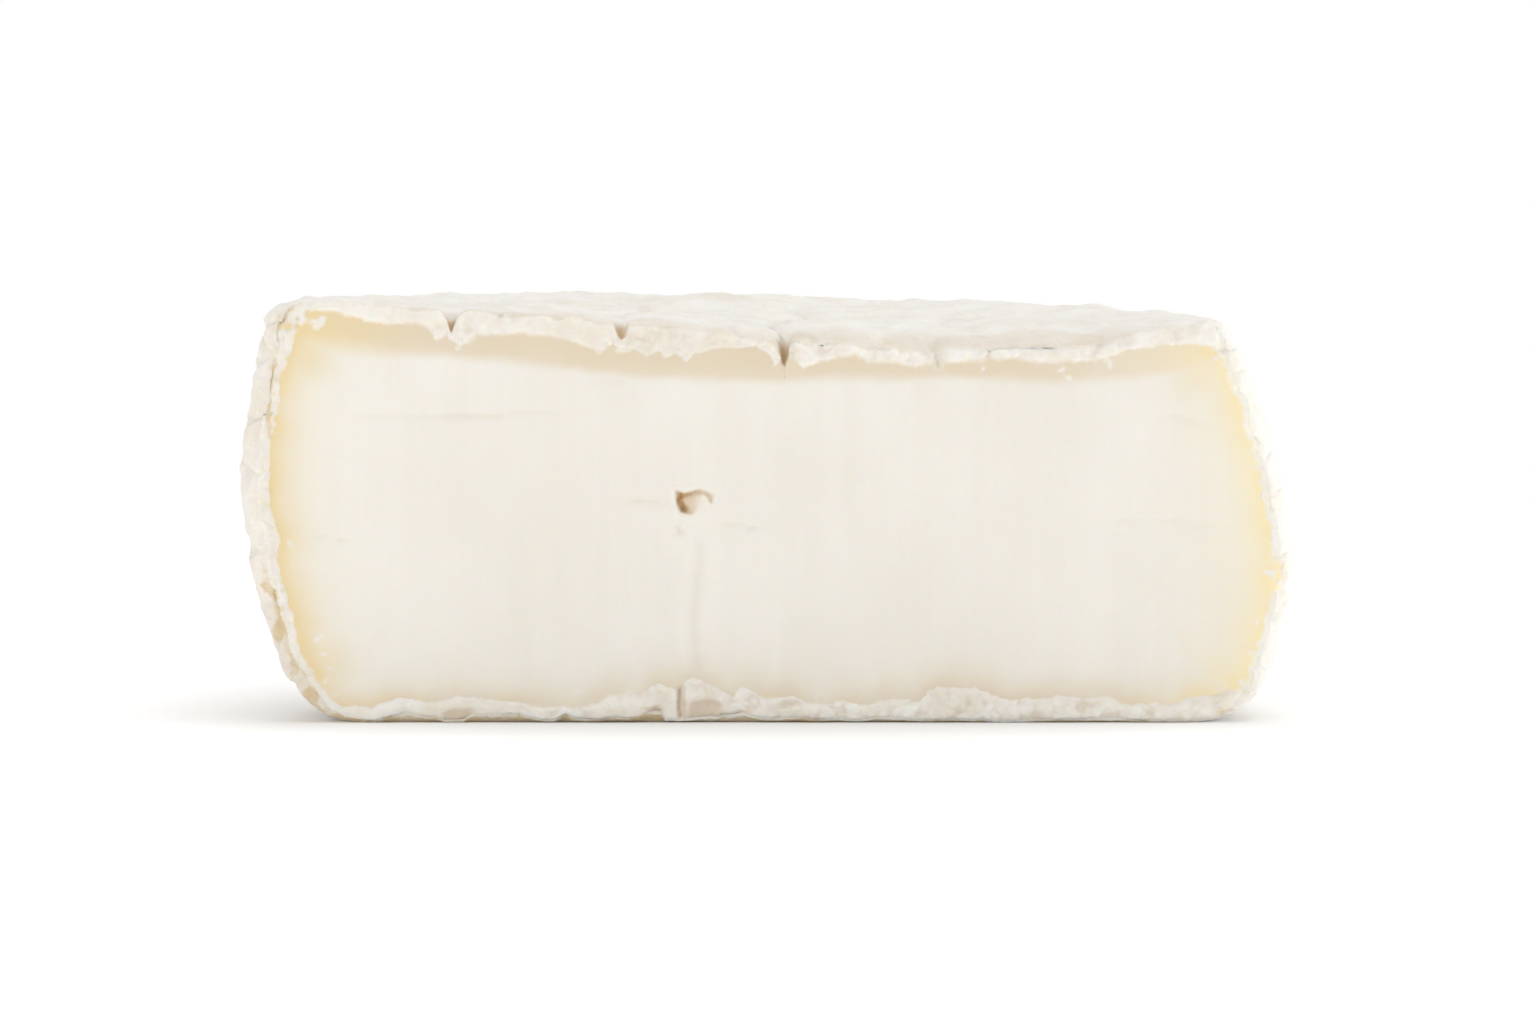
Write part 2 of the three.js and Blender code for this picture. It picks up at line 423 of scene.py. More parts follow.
def notchDepth(n):
    deep = np.zeros(len(co))
    across = co[:, 0].copy()
    for i, (size, amount) in enumerate(n["ragged"]):
        across += amount * lumps(co, size, 91 + i)
    for x, half, depth, sharp in n["cuts"]:
        deep += depth * np.clip(1 - np.abs(across - x) / half, 0, 1) ** sharp
    low, high = n["behind"]
    fade = np.where(onFace, 1 - ease(-1, n["reach"], rimDepth), 1 - ease(low, high, behind))
    return deep * fade * ease(height / 2, height - 9, co[:, 2])


relief = rindRelief(rind)
creased = creaseRelief(creases)
notched = notchDepth(notches)
print("rind relief from", round(relief.min(), 2), "to", round(relief.max(), 2), "mm")
shift = pushWay * ((relief + creased) * faceFade)[:, None]
shift[:, 2] -= notched


# where the rind ends and the paste begins on the cut face
rindLine = {  # x and height of its inner edge, all the way round
    "left": (
        (-47.1, 3.6), (-48, 5.3), (-48.8, 7), (-49.6, 9.3), (-49.7, 10.9), (-50.4, 13), (-51, 14.9),
        (-51.4, 16.6), (-51.3, 19.4), (-51.9, 21.5), (-52.2, 24), (-52.3, 28), (-51.8, 31), (-51.9, 33.4),
        (-51.5, 35.7), (-51, 37.4), (-49.9, 38.8), (-49.6, 41), (-48.6, 42), (-48.2, 43.2),
    ),
    "top": (
        (-45.7, 43.3), (-43.4, 42.7), (-41.5, 42.1), (-40.2, 41.9), (-36.9, 41.9), (-35.6, 41.3),
        (-34.4, 40.2), (-33.5, 40.9), (-32.6, 39.6), (-31.4, 39.7), (-30.3, 40.8), (-25.6, 40.8),
        (-23, 40.5), (-21.1, 40.1), (-19.1, 39.6), (-17.2, 39.1), (-16.2, 39.6), (-15.2, 38.8),
        (-14.2, 39.2), (-12.6, 38.6), (-11.6, 39), (-10.7, 38.2), (-10, 38.9), (-8.3, 37.9), (-7.7, 38.9),
        (-6.3, 39.1), (-3.2, 39.4), (-1.2, 39.4), (-0.1, 38.9), (0.6, 37.3), (1.5, 37.7), (1.9, 38.3),
        (2.7, 38), (3.8, 37.4), (5.3, 37.8), (6.8, 38.2), (9.4, 38.7), (10.7, 38), (13.3, 37.9),
        (15.3, 37.4), (17.2, 37.7), (19.8, 37.9), (22, 38), (25.9, 38.3), (28.5, 37.8), (31.1, 38),
        (33.7, 37.9), (35.7, 38.2), (37.6, 39.1), (40.2, 39.5), (42.2, 39.8), (44.2, 40),
    ),
    "right": (
        (46.3, 39.3), (47.5, 38.3), (48.3, 37.4), (48.7, 36.2), (49.6, 33.5), (50.6, 30.5), (51.6, 27.5),
        (52.5, 23.5), (52.7, 20), (53, 16.5), (52.7, 13), (52.1, 9.8), (51.2, 6.8), (50.4, 4.4),
    ),
    "base": (
        (48.9, 3.4), (46.5, 2.9), (45, 2.8), (43.6, 2.4), (42, 1.8), (40.7, 2.1), (37.7, 1.9), (36.3, 2.4),
        (34.8, 2.7), (32.5, 2.4), (30.4, 2.9), (28, 2.5), (25.5, 2.3), (23.5, 3.1), (21.5, 3.7), (18.2, 3.8),
        (16.6, 3.3), (16, 2.1), (14.6, 2.6), (12.9, 2.6), (11.8, 2.1), (9.5, 1.7), (8.9, 2.2), (7.6, 2.3),
        (6.3, 1.9), (4.6, 1.9), (3.6, 2.3), (2.6, 2.7), (-0.1, 2.7), (-2.2, 3.6), (-2.9, 3.7), (-3.7, 2.6),
        (-4.6, 3.2), (-5.7, 4), (-6.6, 4.1), (-7.6, 4.6), (-8.5, 4.7), (-8.8, 3.8), (-9.6, 3.6), (-10.9, 4),
        (-11.7, 4.2), (-12.5, 3.6), (-13.5, 2.8), (-14.8, 3.2), (-16.7, 2.8), (-18.1, 2.1), (-19.3, 1.5),
        (-20.5, 1.2), (-21.8, 1.5), (-23.7, 1.6), (-26.1, 1.9), (-28.9, 2.1), (-31, 2.5), (-32.7, 2.9),
        (-33.6, 2.5), (-34.8, 2.1), (-36.8, 2.2), (-38.5, 2.5), (-40.4, 2.1), (-41.5, 1.5), (-43.5, 1.8),
        (-44.6, 1.9), (-46.2, 2.5),
    ),
}

rim = {
    "least": 0.3,  # the rind is never thinner than this
    "proud": 0.34,
    "wander": ((1.7, 0.26), (0.7, 0.15)),  # size and amount
    # how crumbly the torn edge is, and how softly it runs into the paste: by x, and left and right
    "topCrumble": ((-50, 0.35), (-36, 0.3), (-32, 0.8), (-24, 0.6), (-12, 1), (8, 1), (34, 1), (50, 0.5)),
    "baseCrumble": ((-50, 0.5), (-45, 0.4), (-27, 0.35), (-21, 0.9), (-12, 0.6), (-4, 0.8), (2, 1.1),
                    (50, 0.9)),
    "sideCrumble": (0.45, 0.2),
    "sideSoft": (0.14, 0.3),
    "topSoft": ((-47, 0.3), (-36, 0.35), (-34.4, 0.16), (-31, 0.4), (-24, 0.45), (-17, 0.25), (-12, 0.16),
                (2, 0.14), (6, 0.3), (12, 0.45), (30, 0.38), (36, 0.16), (47, 0.14)),
    "baseSoft": ((-30, 0.1), (-25, 0.3), (-18, 0.35), (-13, 0.12), (50, 0.1)),
    "step": (0.32, 0.6),  # width of the step down to the paste, and on the right
    "stepRight": 40,
    "roundedOver": (-0.25, 0.5),
    "grains": ((1.7, 0.3), (0.85, 0.2), (0.95, 0.22)),  # size and height: two soft ones and a sharp one
    "swell": (3.2, 0.16),
    "looseHigh": 0.12,  # share of all this that loose crumbs have
    "looseSoft": 0.24,
    "bend": (0.7, 0.3),  # size and amount of the raggedness of all small pieces
    "fray": (0.5, 0.5),
    "seamFray": (0.9, 0.7),
    "fleckTurn": 2.4,
    "fleckShape": (0.8, 1.35),
}

flecks = (  # loose white crumbs in the paste: x, height, radius
    (-49.3, 42.5, 0.85), (-50.6, 40.5, 0.85), (-50.5, 39.3, 0.8), (-46.9, 42.0, 0.6), (-47.6, 42.1, 0.42),
    (-50.9, 37.2, 0.25), (-51.6, 34.9, 0.42), (-51.7, 34.1, 0.4), (-52, 32.7, 0.26), (-51.8, 31.3, 0.3),
    (-51.8, 30.6, 0.26), (-32.2, 40.1, 0.6), (-15.2, 39.2, 0.45), (-17.6, 39.0, 0.25), (15.4, 37.3, 0.25),
    (22.6, 37.2, 0.28), (30.7, 37.0, 0.28), (31.5, 36.3, 0.26), (35.7, 37.7, 0.42), (10.5, 37.9, 0.25),
    (-47.2, 8.8, 0.36), (-46.6, 7.2, 0.34), (-45.9, 5.7, 0.26), (-50.1, 18.8, 0.28), (-46.4, 4.5, 0.24),
    (-20, 3.4, 0.28), (-14.4, 3.3, 0.3), (-0.4, 3.9, 0.25), (5.4, 2.8, 0.2), (45.4, 39.8, 0.35),
    (46.9, 38.1, 0.28), (47.8, 37.4, 0.26), (48.3, 36.1, 0.24), (50.0, 31.4, 0.25), (51.5, 25.3, 0.25),
    (52.7, 15.6, 0.42), (51.4, 10.6, 0.3), (50.6, 7.3, 0.25), (49.6, 4.2, 0.3),
)

missing = (  # small gaps in the rind's cut edge: x, height, radius
    (-50.3, 41.7, 0.42), (-48.2, 42.9, 0.4), (-49.2, 41.4, 0.3), (52.9, 14.4, 0.6), (53.4, 15.5, 0.5),
    (53.2, 16.5, 0.45), (52.4, 14.9, 0.5), (47.4, 39.2, 0.3),
)

seams = (  # where the outer skin has come away from the torn inner edge: x, height, half width
    ((-49.7, 43.8, 0.08), (-50.3, 43.1, 0.2), (-51, 42.1, 0.26), (-51.8, 39.8, 0.3), (-51.9, 38.3, 0.36),
     (-52, 36.3, 0.2), (-52.4, 35, 0.24), (-52.2, 32.3, 0.26), (-52.3, 30, 0.05)),
    ((-53.4, 14.6, 0.3), (-52.6, 13.9, 0.6), (-51.9, 12.9, 0.42), (-51.9, 11.6, 0.2), (-51.9, 10, 0.5),
     (-51.6, 8.7, 0.75), (-51, 7.4, 0.5), (-50, 5.4, 0.3), (-48.9, 3.2, 0.25), (-48.2, 1.6, 0.3)),
)


def overTable(values, table):
    places, amounts = zip(*sorted(table))
    return np.interp(values, places, amounts)


face = np.flatnonzero(onFace)
facePoints = (co + shift)[face]
faceX, faceZ = facePoints[:, 0], facePoints[:, 2]
facePlan = np.column_stack([faceX, faceZ])


def rindBorder(r):  # millimetres into the rind, below zero in the paste
    moved = facePlan.copy()
    for size, amount in r["wander"]:
        moved[:, 0] += amount * lumps(facePoints, size, 51)
        moved[:, 1] += amount * lumps(facePoints, size, 52)
    gap = signedGap(moved, [p for part in rindLine.values() for p in part])
    edge = np.maximum(gap, r["least"] - rimDepth[face])
    size, amount = r["bend"]
    bentX = faceX + amount * lumps(facePoints, size, 53)
    bentZ = faceZ + amount * lumps(facePoints, size, 54)
    size, amount = r["fray"]
    ragged = 1 + amount * lumps(facePoints, size, 55)
    for x, z, radius in missing:
        edge = np.minimum(edge, np.hypot(bentX - x, bentZ - z) - radius * ragged)
    size, amount = r["seamFray"]
    opened = np.full(len(face), 9.0)
    for seam in seams:
        line = np.array(seam)
        away, share = alongRoute(np.column_stack([bentX, bentZ]), line[:, :2])
        half = np.interp(share, np.linspace(0, 1, len(line)), line[:, 2])
        opened = np.minimum(opened, away - half * (1 + amount * lumps(facePoints, size, 56)))
    edge = np.minimum(edge, opened)
    long, wide = r["fleckShape"]
    loose = np.full(len(face), -9.0)
    for i, (x, z, radius) in enumerate(flecks):
        turn = r["fleckTurn"] * i
        along = (bentX - x) * math.cos(turn) + (bentZ - z) * math.sin(turn)
        across = (bentZ - z) * math.cos(turn) - (bentX - x) * math.sin(turn)
        loose = np.maximum(loose, radius * ragged - np.hypot(along * long, across * wide))
    isLoose = ease(-0.1, 0.3, loose - np.maximum(edge, -0.3))
    return np.maximum(edge, loose), gap, opened, isLoose


faceEdge, faceGap, faceSeam, isLoose = rindBorder(rim)
faceEdge = np.where(inHole[face], -12, faceEdge)
faceTop, faceBase, faceSide = topness[face], baseness[face], sideness[face]


def alongRim(what):  # its two tables, for the top and the base, and its pair for left and right
    top = overTable(faceX, rim["top" + what]) * faceTop
    base = overTable(faceX, rim["base" + what]) * faceBase
    return top + base + np.where(faceX < 0, *rim["side" + what]) * faceSide


crumble = alongRim("Crumble")
softEdge = alongRim("Soft")


def rimRelief(r):  # how far the cut edge of the rind stands out from the paste
    width, widthRight = r["step"]
    inside = ease(-0.06, np.where(faceX > r["stepRight"], widthRight, width), faceEdge)
    (size, high), (smallSize, smallHigh), (grain, grainHigh) = r["grains"]
    rough = high * lumps(facePoints, size, 61) + smallHigh * lumps(facePoints, smallSize, 62)
    rough += grainHigh * (crumbs(facePoints, grain, 63) - 0.5)
    rounded = ease(*r["roundedOver"], rimDepth[face])
    size, high = r["swell"]
    stands = r["proud"] * rounded + rough * crumble + high * lumps(facePoints, size, 64)
    return inside * stands * mix(1, r["looseHigh"], isLoose), rough


proud, roughness = rimRelief(rim)


# folds, cracks and lifted edges of the rind along the cut
edges = {
    # x and height that the bottom edge is lifted
    "lift": ((-41, 0), (-39.6, 0.5), (-38.5, 0.8), (-36.8, 0.8), (-35.9, 0.4), (-34.8, 0.45), (-34, 0.05),
             (-32, 0.05), (-31.2, 0.6), (-30, 0.75), (-27.4, 0.8), (-26.1, 0.65), (-24.8, 0.35),
             (-23.7, 0.1), (-22.4, 0.1), (-21.3, 0.75), (-20.5, 0.3), (-19, 0.1), (-17.6, 0.15),
             (-16.7, 0.4), (-14.8, 0.3), (-13.5, 0.4), (-12.5, 0.95), (-11.1, 1.1), (-10.8, 0.3),
             (-9.6, 0.2), (-7.8, 0.3), (-6, 0.45), (-4, 0.5), (-2.6, 0.85), (-1.3, 0.4), (0.5, 0.25),
             (3.5, 0.4), (5, 0.1), (7.5, 0.3), (9, 0.1), (12, 0.4), (14, 0.35), (16, 0.1), (19, 0.2),
             (25, 0.08), (30, 0.16), (36.5, 0.3), (38, 0.1), (47, 0.1)),
    "liftBehind": 1.5,
    "liftInside": 4.2,
    # middle x, half width, height of the fold, how far it is tucked in below
    "folds": ((-32.6, 1.9, 1.9, 0.55), (-6.7, 2.0, 2.8, 0.65), (-3.6, 1.5, 1.3, 0.5),
              (-11.9, 1.1, 1.1, 0.5), (35.7, 1.1, 1.5, 0.3), (-37.9, 1.2, 1.2, 0.2), (9.5, 2.2, 0.8, 0.2),
              (24, 3, 0.7, 0.15)),
    "crack": {"x": -9.35, "low": 0.3, "high": 3.8, "half": 0.2, "deep": 0.8, "strip": 0.75, "sunk": 0.4},
    "seamDeep": 0.22,
    # the rind pulled in beside the cut on the left, by height
    "leftGroove": ((2, 0.05), (4, 0.15), (15, 0.2), (18, 0.06), (30, 0.06), (37, 0.12), (43, 0.12),
                   (44, 0)),
    "grooveAt": (0.5, 0.45),  # how far behind the cut, and how wide
    # how tan the groove is tinted
    "grooveTan": 4,
    # torn spots on the skin beside the cut: x, height, half sizes, depth, how bare
    "torn": ((-52.8, 13.9, 0.9, 0.8, 0.3, 1.4), (-51.8, 9.5, 0.7, 1.6, 0.2, 1.3),
             (-54.7, 26.8, 0.7, 1.8, 0.5, 0.2), (-48.4, 2.2, 1.1, 1.6, 0.12, 1.15),
             (-50.2, 5.4, 0.5, 1.6, 0.15, 0.9), (48, 1.2, 1.1, 0.8, 0.12, 0.85)),
    "tornBehind": 4.5,
}


def liftedEdge(e):  # the bottom edge of the rind curls up here and there
    lift = overTable(co[:, 0] + 0.25 * lumps(co, 1.1, 41), e["lift"]) * (1 + 0.25 * lumps(co, 0.8, 42))
    onSkin = 1 - ease(0, e["liftBehind"], behind)
    fade = np.where(onFace, 1 - ease(0, e["liftInside"], rimDepth), onSkin)
    return lift * fade * ease(5, 0, co[:, 2])


def tuckedFolds(e):
    tuck = np.zeros(len(face))
    for x, half, high, deep in e["folds"]:
        across = np.exp(-(((faceX - x + 0.4 * lumps(facePoints, 1.5, 43)) / half) ** 4))
        line = high - 0.35 * ((faceX - x) / half) ** 2 + 0.2 * lumps(facePoints, 1.2, 44)
        tuck += deep * across * ease(line + 0.12, line - 0.9, faceZ)
    c = e["crack"]
    side = faceX - c["x"] - 0.12 * lumps(facePoints, 0.9, 45)
    along = ease(c["low"] - 0.3, c["low"] + 0.3, faceZ) * ease(c["high"] + 0.4, c["high"] - 0.1, faceZ)
    tuck += c["deep"] * along * np.exp(-((side / c["half"]) ** 2))
    tuck += c["sunk"] * along * ease(0, 0.1, side) * ease(c["strip"] + 0.15, c["strip"] - 0.1, side)
    return tuck * ease(-0.2, 0.2, faceEdge) + e["seamDeep"] * ease(0.3, -0.1, faceSeam)


def besideCut(e):  # on the skin just behind the cut
    groove = overTable(co[:, 2], e["leftGroove"]) * (co[:, 0] < 0) * sideness
    middle, wide = e["grooveAt"]
    groove *= np.exp(-(((behind - middle) / wide) ** 2)) * (1 + 0.5 * lumps(co, 2, 46))
    depth = groove.copy()
    bare = e["grooveTan"] * groove
    for x, z, wide, tall, deep, tan in e["torn"]:
        far = np.hypot((co[:, 0] - x) / wide, (co[:, 2] - z) / tall) + 0.35 * lumps(co, 0.9, 47)
        spot = ease(1.5, 0.35, far) * (behind < e["tornBehind"])
        depth = np.maximum(depth, deep * spot * ~onFace)
        bare = np.maximum(bare, tan * spot)
    return np.where(onFace, 0, depth), bare


lifted = liftedEdge(edges)
tucked = tuckedFolds(edges)
sunk, bareSpots = besideCut(edges)
shift -= pushWay * sunk[:, None]
shift[:, 2] += lifted * np.where(onFace, baseness > 0.3, 1)
shift[face, 1] += tucked - proud


# knife marks, hole and the groove under it
marks = {
    "groove": {"x": -7.35, "from": 20.4, "to": 4.6, "deep": 0.26, "half": 0.75, "sway": 0.3},
    # painted shade in the groove's valley
    "grooveShade": 0.5,
    "ridges": ((-1.55, 0.22), (1.3, 0.176)),  # how far from the groove, and how high
    "ridgeHalf": 0.5,
    "slits": (  # x and height of both ends, how deep, how wide
        ((-44, 31.9), (-22, 32.3), 0.1, 0.42),
        ((-47.5, 19.6), (-44, 19.0), 0.14, 0.3),
        ((-5.2, 20.7), (-0.6, 20.2), 0.12, 0.3),
        ((-15, 23.2), (-11, 22.8), 0.14, 0.6),
        ((-9.6, 20.4), (-8.9, 19.5), 0.16, 0.4),
        ((35, 21.2), (48, 20.6), 0.08, 0.4),
        ((41, 32.2), (46.5, 31.2), 0.1, 0.5),
        ((-46.1, 38), (-46.3, 37.2), 0.14, 0.2),
        ((41.5, 5.2), (43.6, 5.9), 0.1, 0.25),
        ((5, 9.5), (5.2, 7), 0.06, 0.3),
        ((-18, 35.8), (-14.5, 35.6), 0.06, 0.35),
    ),
    "slitGain": 1.8,
    "waves": 0.05,
}

hole = {
    "outline": ((-9.67, 24.45), (-9.3, 24.35), (-8.85, 24.15), (-8.3, 24.25), (-7.8, 24.42), (-7.26, 24.5),
                (-6.5, 24.3), (-5.65, 23.95), (-5.93, 23.2), (-6.3, 23.4), (-6.9, 23.2), (-7.2, 22.8),
                (-7.4, 22.3), (-7.75, 21.85), (-8.1, 21.7), (-8.6, 21.85), (-9.24, 22.15), (-9.6, 22.6),
                (-9.7, 23.2)),
    "floor": (0.5, -8.4, -6.8),  # its depth, and where it rises out on the right
    # the deepest part runs down the left and along the top: depth and half width
    "crescent": ((-8.75, 22.35), (-9.1, 22.8), (-9.3, 23.4), (-9.05, 23.9), (-8.45, 24), (-7.7, 24.15)),
    "crescentDeep": 0.75,
    "crescentHalf": 0.38,
    "wall": 0.32,
    "hook": ((-7.6, 24.25), (-6.7, 24.15), (-6.05, 23.8), (-5.95, 23.35)),
    "hookDeep": 0.4,
    "hookHalf": 0.3,
    "lump": (-6.85, 23.8, 0.3, 0.3),  # x, height, radius, how far it stands up
    "lip": (0.1, 0.3, 0.2),  # how high, how far from the edge, how wide
    # painted shade along the hook, and the floor's tan, darker as painted shade where it is deeper
    "hookShade": 0.4,
    "floorTanAndShade": 0.5,
}


def cutRelief(m):
    g = m["groove"]
    across = faceX - g["x"] - g["sway"] * np.sin(faceZ * 0.45)
    alive = ease(g["from"], g["from"] - 2.5, faceZ) * ease(g["to"] - 1.5, g["to"] + 2, faceZ)
    deep = g["deep"] * alive * np.exp(-((across / g["half"]) ** 2))
    # painted shade: the groove's valley and the slits are tinted darker
    tint = m["grooveShade"] * alive * np.exp(-((across / 0.5) ** 2))
    for at, high in m["ridges"]:
        deep -= high * alive * np.exp(-(((across - at) / m["ridgeHalf"]) ** 2))
    bent = facePlan + 0.3 * np.column_stack([np.zeros(len(face)), lumps(facePoints, 3.5, 71)])
    for a, b, depth, wide in m["slits"]:
        gap, share = alongRoute(bent, (a, b))
        fade = ease(0, 0.25, share) * ease(1, 0.75, share)
        below = np.sign(faceZ - mix(a[1], b[1], share))
        strength = (0.35 + 0.65 * fade) * np.exp(-((gap / wide) ** 2)) * (0.6 + 0.4 * below)
        deep += m["slitGain"] * depth * strength
        tint = np.maximum(tint, np.minimum(8 * depth, 1) * strength)
    streak = lumps(facePoints * np.array([1, 1, 0.05]), 2.6, 72)
    streak += 0.6 * lumps(facePoints * np.array([1, 1, 0.08]), 1.2, 73)
    deep += m["waves"] * 0.3 * streak + m["waves"] * lumps(facePoints, 14, 74)
    inPaste = ease(0, 1.2, -faceEdge)
    return deep * inPaste, tint * inPaste


def holeShape(h):  # deep at the left end, ramping up to the right, with a hooked end
    uneven = np.column_stack([lumps(facePoints, 0.9, 75), lumps(facePoints, 0.9, 76)]) * 0.12
    gap = signedGap(facePlan + uneven, h["outline"])
    inside = ease(0.04, -h["wall"], gap)
    floorDeep, sinks, rises = h["floor"]
    deep = floorDeep * inside * ease(rises, sinks, faceX + 0.25 * (23 - faceZ))
    across, share = alongRoute(facePlan + uneven, h["crescent"])
    crescent = mix(1, 0.55, ease(0.5, 1, share)) * np.exp(-((across / h["crescentHalf"]) ** 2))
    crescent *= 1 + 0.5 * lumps(facePoints, 0.45, 78)
    deep += h["crescentDeep"] * crescent * ease(0.1, -0.12, gap)
    x, z, radius, high = h["lump"]
    deep -= high * np.exp(-((np.hypot(faceX - x, faceZ - z) / radius) ** 2))
    along, share = alongRoute(facePlan, h["hook"])
    deep += h["hookDeep"] * ease(0, 0.2, share) * np.exp(-((along / h["hookHalf"]) ** 2))
    left = ease(-7, -9.5, faceX)
    high, out, wide = h["lip"]
    deep -= high * np.exp(-(((gap - out) / wide) ** 2)) * (0.2 + left)
    # tan on the floor, darker where the floor is deeper as painted shade, and painted shade along the hook
    tan = h["floorTanAndShade"] * inside * ease(rises, sinks, faceX)
    return deep, gap, tan + h["hookShade"] * np.exp(-((along / h["hookHalf"]) ** 2))


holeDeep, holeGap, holeTanAndShade = holeShape(hole)
markDepth, markShade = cutRelief(marks)
cutMarks = markDepth * mix(1, 0.2, ease(0.3, -0.3, holeGap))
shift[face, 1] += cutMarks + holeDeep

moved = co + shift
moved[:, 2] = np.maximum(moved[:, 2], 0)
moved[:, 1] = np.maximum(moved[:, 1], cutY - 1.0)
writeCoords(halfWheel.data, moved)


creamAndShade = {  # how yellow and tan the paste is, with painted shade along its knife marks and a painted shadow on the rind above it, painted for the materials to read
    # x and height of the lower edge of the tan layer under the top rind
    "topLine": ((-50, 39.5), (-44, 39.1), (-38, 38.7), (-32.8, 38.4), (-28, 38), (-20, 37), (-14.6, 36.5),
                (-7, 36.1), (0, 35.9), (12, 36.1), (18.5, 36.3), (24.6, 36.1), (30, 35.7), (37, 36.2),
                (50, 37.5)),
    "topSoft": 0.75,
    "topSoftLeft": 2.2,
    "topWide": (-1.3, 2, 0.28),  # a wider and fainter edge: from, to, share
    # painted shadow on the rind band above it, tan, strongest just left of the middle
    "topShadow": ((-42, 0.02), (-30, 0.07), (-20, 0.07), (-13, 0.15), (-4, 0.17), (3, 0.03), (50, 0)),
    "leftReach": 2.2,
    "rightReach": 2.4,
    "rightShare": 0.85,
    "baseReach": 1.9,
    "tail": (0.22, 7),  # strength and reach, at the sides
    # x, height, reach and strength
    "corners": ((-47.6, 5.6, 4.2, 0.7), (48.2, 5, 3.6, 0.55), (-48.6, 38.6, 3.4, 0.72),
                (46, 37.5, 4, 0.65)),
    "roundHole": 0.25,
    # painted shade along the knife marks and the groove
    "shadeInMarks": 0.24,
}


def creamlineAndShade(c):
    inward = np.maximum(-faceGap, 0)
    reach = np.where(faceX < 0, c["leftReach"] * (1 + 0.3 * ease(14, 4, faceZ)), c["rightReach"])
    side = np.exp(-((inward / reach) ** 1.2)) * faceSide * (1 + 0.25 * lumps(facePoints, 3, 80))
    side *= np.where(faceX < 0, 1, c["rightShare"])
    strength, reach = c["tail"]
    tail = strength * np.exp(-inward / reach) * faceSide * np.where(faceX > 0, 1, 0.5)
    line = overTable(faceX, c["topLine"])
    line += 0.3 * lumps(facePoints, 5, 81) + 0.12 * lumps(facePoints, 1.5, 82)
    soft = c["topSoft"] * (1 + 0.5 * lumps(facePoints, 6, 86))
    soft *= mix(1, c["topSoftLeft"], ease(-32, -45, faceX))
    low, high, share = c["topWide"]
    top = (1 - share) * ease(line - soft, line + soft, faceZ)
    top += share * ease(line + low, line + high, faceZ)
    top *= (0.97 + 0.16 * lumps(facePoints, 3, 83)) * mix(1, 0.75, ease(25, 42, faceX))
    base = np.exp(-((inward / c["baseReach"]) ** 1.4)) * faceBase
    base *= 0.8 + 0.4 * lumps(facePoints, 4, 84)
    corners = []
    for x, z, far, strong in c["corners"]:
        corners.append(strong * np.exp(-(((faceX - x) / far) ** 2 + ((faceZ - z) / far) ** 2)))
    spots = [c["roundHole"] * ease(0.4, -0.2, holeGap), c["shadeInMarks"] * markShade]
    amount = np.maximum.reduce([side + tail, top, base, *corners, *spots])
    # the last share is a painted highlight, growing towards the right side
    return np.clip(amount, 0, 1), ease(34, 50, np.abs(faceX)), ease(30, 50, faceX)


def onWhole(values, rest=0.0):
    full = np.full(len(co), float(rest))
    full[face] = values
    return full


creamAndShadeAmount, creamYellow, creamPaintedHighlight = creamlineAndShade(creamAndShade)
# the hole's tan, deepened with its depth as painted shade
pitTanAndShade = np.maximum(ease(0.35, 1.15, holeDeep + 0.1 * lumps(facePoints, 0.5, 85)), holeTanAndShade)
pitTanAndShade *= ease(0.25, 0, holeGap)

wearAndShade = {  # how strongly each place is tinted tan: painted shade under the base edge, in sunken places, in creases, under tucked folds, between crumbs and down the left side, a painted shadow next to the cut, and stains low on the left and round the base rim
    "underside": 1.2,
    "sunken": 0.5,
    "creased": 0.42,
    "nextToCut": 0.24,
    "side": 0.14,
    "lowLeft": 0.3,
    "baseRim": 0.15,
    "tucked": 0.5,
    "crumbled": 0.34,
}


def wornAndShadedRind(w):
    # painted shade: the underside by the cut, under the curled base edge, tinted tan
    underside = baseness * ease(6, 1, behind) * mix(1, 0.25, ease(38, 46, co[:, 0])) * ~onFace
    # painted shade: the low places of the rind's relief
    sunken = ease(-0.15, -0.9, relief) * ~onFace
    bare = np.maximum.reduce([bareSpots, w["underside"] * underside, w["sunken"] * sunken])
    # painted shadow: the top skin just behind the cut, tinted beige
    fray = behind + 2.4 * lumps(co, 5, 88) + 0.8 * lumps(co, 1.6, 89)
    nextToCut = topness * ease(5.5, 1.2, fray) * ease(44, 34, np.abs(co[:, 0])) * ~onFace
    nextToCut *= 1 + 0.4 * lumps(co, 4, 87)
    # painted shade: the side rind darker towards the left
    side = sideness * ease(20, -35, co[:, 0]) * (1 + 0.7 * lumps(co, 8, 90))
    side *= np.where(onFace, rimDepth < 4.5, 1)
    lowLeft = sideness * (co[:, 0] < -40) * ease(15, 11, co[:, 2]) * ease(6, 2, behind) * ~onFace
    lowLeft *= 1 + 0.8 * lumps(co, 1.6, 93)
    baseRim = faceBase * ease(-0.4, 0.5, lumps(facePoints, 2.2, 94))
    # painted shade: the low places of the rim's crumbly relief
    crumbled = crumble * ease(0.05, -0.35, roughness) * mix(0.6, 1, faceBase)
    # creases, tucked folds and notches are tinted as painted shade, the cut's top rind band as a painted
    # shadow
    stainsAndShade = [
        w["creased"] * ease(-0.4, -1.3, creased) * ~onFace + w["nextToCut"] * nextToCut,
        w["side"] * side,
        w["lowLeft"] * lowLeft,
        onWhole(overTable(faceX, creamAndShade["topShadow"]) * faceTop),
        onWhole(w["baseRim"] * baseRim),
        onWhole(w["tucked"] * ease(0.05, 0.55, tucked)),
        onWhole(w["crumbled"] * crumbled),
        ease(0.35, 1.3, notched) * (rimDepth < 0.45),
    ]
    return bare, np.maximum.reduce(stainsAndShade)


